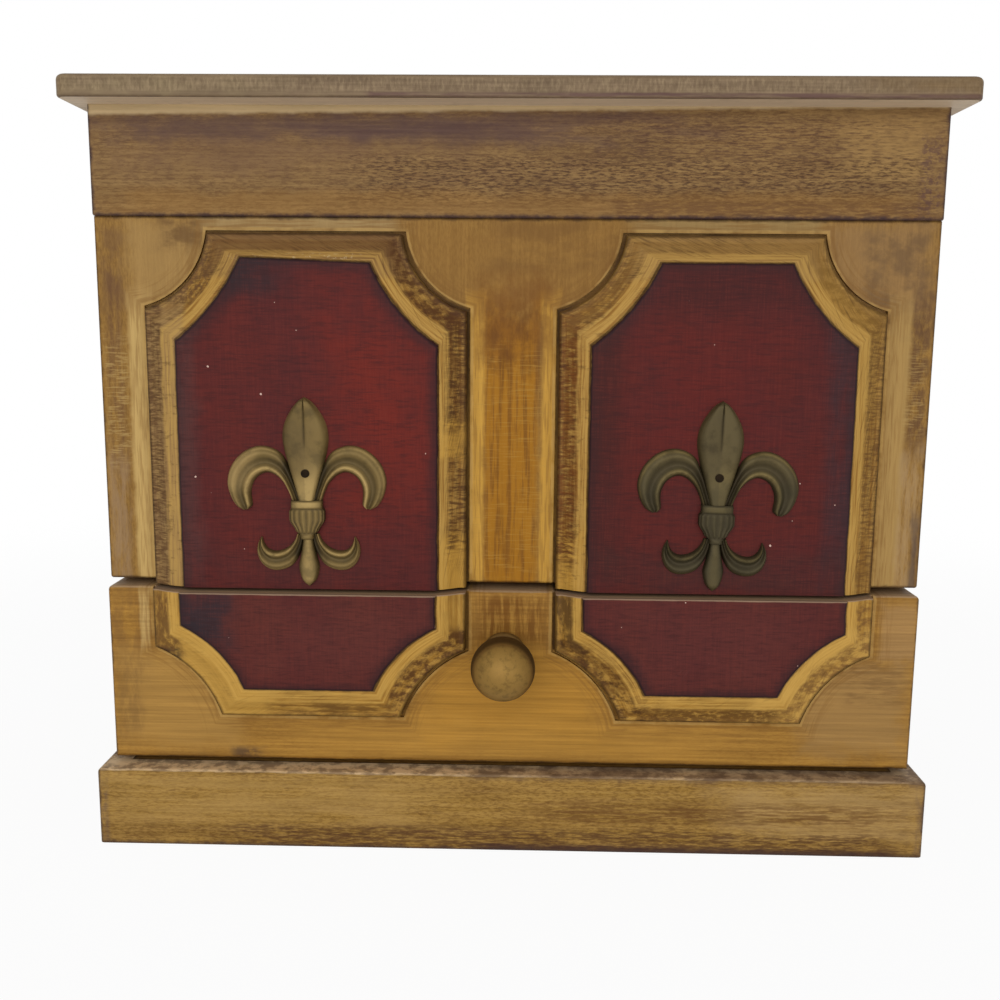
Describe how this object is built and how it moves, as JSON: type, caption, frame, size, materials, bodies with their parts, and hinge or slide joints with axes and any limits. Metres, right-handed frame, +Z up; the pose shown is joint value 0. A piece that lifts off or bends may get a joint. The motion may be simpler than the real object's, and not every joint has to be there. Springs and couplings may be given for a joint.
{
  "type": "jewelry box",
  "caption": "Painted wooden jewelry box with a hinged lid, a lift-out tray, a drawer with a ball knob and carved scooped-corner plaques.",
  "frame": {"origin": "under the middle of the whole box, knob included, on the surface it stands on", "axes": "+Z up, +X to the right of someone who faces the front, front towards -Y"},
  "size_m": [0.25, 0.1832, 0.2219],
  "materials": {
    "ochre_paint": "brushed ochre paint over dark wood, antiqued",
    "plaque_paint": "maroon field and ochre moulding, antiqued",
    "dark_wood": "dark stain",
    "bare_wood": "sanded, clear coat",
    "velvet": "short pile",
    "cushion_velvet": "short pile over foam",
    "antique_brass": "antiqued, dark patina",
    "knob_brass": "worn gilt",
    "hinge_brass": "plated, satin",
    "nail_steel": "dulled",
    "screw_steel": "plated",
    "mirror_glass": "silvered"
  },
  "bodies": {
    "case": {"back_panel": "dark_wood", "base_board": "bare_wood", "compartment_floor": "bare_wood", "compartment_lining": "velvet", "drawer_runner_left": "bare_wood", "drawer_runner_right": "bare_wood", "drawer_stop": "bare_wood", "hinge_leaf_case_left": "hinge_brass", "hinge_leaf_case_right": "hinge_brass", "hinge_pins": "hinge_brass", "hinge_screws_case": "screw_steel", "lily_left": "antique_brass", "lily_nails": "nail_steel", "lily_right": "antique_brass", "plinth_back": "ochre_paint", "plinth_front": "ochre_paint", "plinth_left": "ochre_paint", "plinth_right": "ochre_paint", "side_panel_left": "ochre_paint", "side_panel_right": "ochre_paint", "tray_ledge_left": "bare_wood", "tray_ledge_right": "bare_wood", "upper_front": "ochre_paint", "upper_plaque_left": "plaque_paint", "upper_plaque_right": "plaque_paint"},
    "lid": {"lid_top": "ochre_paint", "rim_front": "ochre_paint", "rim_back": "ochre_paint", "rim_left": "ochre_paint", "rim_right": "ochre_paint", "lid_lining": "velvet", "mirror": "mirror_glass", "mirror_bead_front": "dark_wood", "mirror_bead_back": "dark_wood", "mirror_bead_left": "dark_wood", "mirror_bead_right": "dark_wood", "hinge_leaf_lid_left": "hinge_brass", "hinge_leaf_lid_right": "hinge_brass", "hinge_screws_lid": "screw_steel"},
    "drawer": {"drawer_back": "bare_wood", "drawer_bottom": "bare_wood", "drawer_divider": "bare_wood", "drawer_front": "ochre_paint", "drawer_knob": "knob_brass", "drawer_lining": "velvet", "drawer_plaque_left": "plaque_paint", "drawer_plaque_right": "plaque_paint", "drawer_side_left": "bare_wood", "drawer_side_right": "bare_wood", "knob_screw": "screw_steel"},
    "tray": {"tray_back": "bare_wood", "tray_bottom": "bare_wood", "tray_divider_cross": "bare_wood", "tray_divider_long": "bare_wood", "tray_front": "bare_wood", "tray_left": "bare_wood", "tray_lining": "velvet", "tray_right": "bare_wood", "ring_cushion": "cushion_velvet"}
  },
  "joints": [
    {"name": "lid_hinge", "type": "hinge", "parent": "case", "child": "lid", "pos_m": [0, 0.08768, 0.1853], "axis": [-1, 0, 0], "range_deg": [0, 100]},
    {"name": "drawer_slide", "type": "slide", "parent": "case", "child": "drawer", "axis": [0, -1, 0], "range_m": [0, 0.0975]},
    {"name": "tray_lift", "type": "slide", "parent": "case", "child": "tray", "axis": [0, 0, 1], "range_m": [0, 0.025]}
  ]
}
